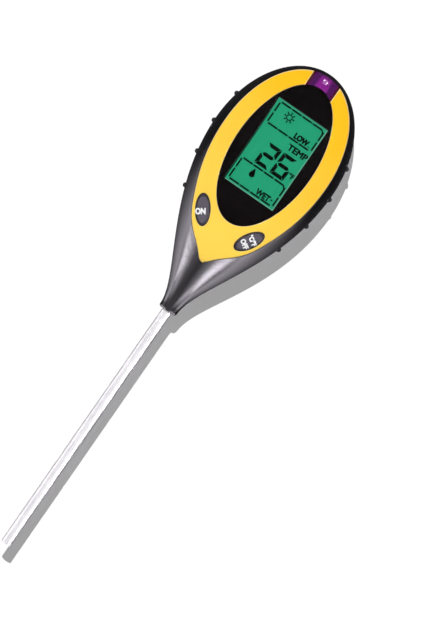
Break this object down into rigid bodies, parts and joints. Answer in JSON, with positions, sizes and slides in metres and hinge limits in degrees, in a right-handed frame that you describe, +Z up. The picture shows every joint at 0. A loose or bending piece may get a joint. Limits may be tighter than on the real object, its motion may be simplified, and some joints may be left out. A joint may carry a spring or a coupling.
{
  "type": "soil tester",
  "caption": "Handheld soil tester: egg-shaped head with an oval display window, press keys, a light window, a slide switch and battery door in the back, and a straight round probe.",
  "frame": {"origin": "on the resting surface, under the middle of the whole length from the probe's tip to the top of the head", "axes": "+X across the head, +Y from the probe's tip to the top of the head, +Z up out of the display"},
  "size_m": [0.062, 0.2436, 0.035],
  "materials": {
    "case_plastic": "glossy black moulding",
    "bezel_plastic": "satin yellow moulding",
    "clear_plastic": "clear polished",
    "black_print": "black print",
    "purple_plastic": "dark purple translucent",
    "key_plastic": "dark grey satin",
    "dome_rubber": "soft grey",
    "display_glass": "green liquid crystal cell",
    "strip_rubber": "layered conductive strip",
    "white_plastic": "white moulding",
    "board_laminate": "green solder mask",
    "chip_plastic": "moulded black",
    "component_body": "small components",
    "screw_steel": "zinc plated",
    "sensor_resin": "clear cast resin",
    "switch_steel": "tin plated",
    "knob_plastic": "dark grey",
    "grey_insulation": "wire insulation",
    "battery_can": "painted can",
    "snap_plastic": "black",
    "black_insulation": "wire insulation",
    "red_insulation": "wire insulation",
    "pad_foam": "closed foam",
    "probe_steel": "bright satin",
    "tip_plastic": "pale insulating plastic",
    "electrode_metal": "turned",
    "bead_resin": "cast resin bead",
    "collar_plastic": "black"
  },
  "bodies": {
    "housing": {"battery": "battery_can", "battery_lead_black": "black_insulation", "battery_lead_red": "red_insulation", "battery_pad": "pad_foam", "battery_snap": "snap_plastic", "board_components": "component_body", "board_screws": "screw_steel", "case_screws": "screw_steel", "circuit_board": "board_laminate", "contact_strips": "strip_rubber", "controller_chip": "chip_plastic", "display_window": "clear_plastic", "face_bezel": "bezel_plastic", "front_case": "case_plastic", "lcd_backlight": "white_plastic", "lcd_glass": "display_glass", "lcd_holder": "white_plastic", "light_sensor": "sensor_resin", "mode_leads": "grey_insulation", "mode_switch_body": "switch_steel", "off_dome": "dome_rubber", "on_dome": "dome_rubber", "probe_collar": "collar_plastic", "probe_leads": "grey_insulation", "probe_tube": "probe_steel", "rear_case": "case_plastic", "sensor_window": "purple_plastic", "thermistor": "bead_resin", "tip_electrode": "electrode_metal", "tip_insulator": "tip_plastic", "window_mask": "black_print"},
    "on_key": {"on_key": "key_plastic"},
    "off_key": {"off_key": "key_plastic"},
    "mode_knob": {"mode_knob": "knob_plastic"},
    "battery_door": {"battery_door": "case_plastic"}
  },
  "joints": [
    {"name": "on_key_press", "type": "slide", "parent": "housing", "child": "on_key", "axis": [0, 0, -1], "range_m": [0, 0.0008], "stiffness_N_per_m": 400, "deforming": ["on_dome"]},
    {"name": "off_key_press", "type": "slide", "parent": "housing", "child": "off_key", "axis": [0, 0, -1], "range_m": [0, 0.0008], "stiffness_N_per_m": 400, "deforming": ["off_dome"]},
    {"name": "mode_knob_slide", "type": "slide", "parent": "housing", "child": "mode_knob", "axis": [1, 0, 0], "range_m": [0, 0.004]},
    {"name": "battery_door_slide", "type": "slide", "parent": "housing", "child": "battery_door", "axis": [0, 1, 0], "range_m": [0, 0.06]}
  ]
}
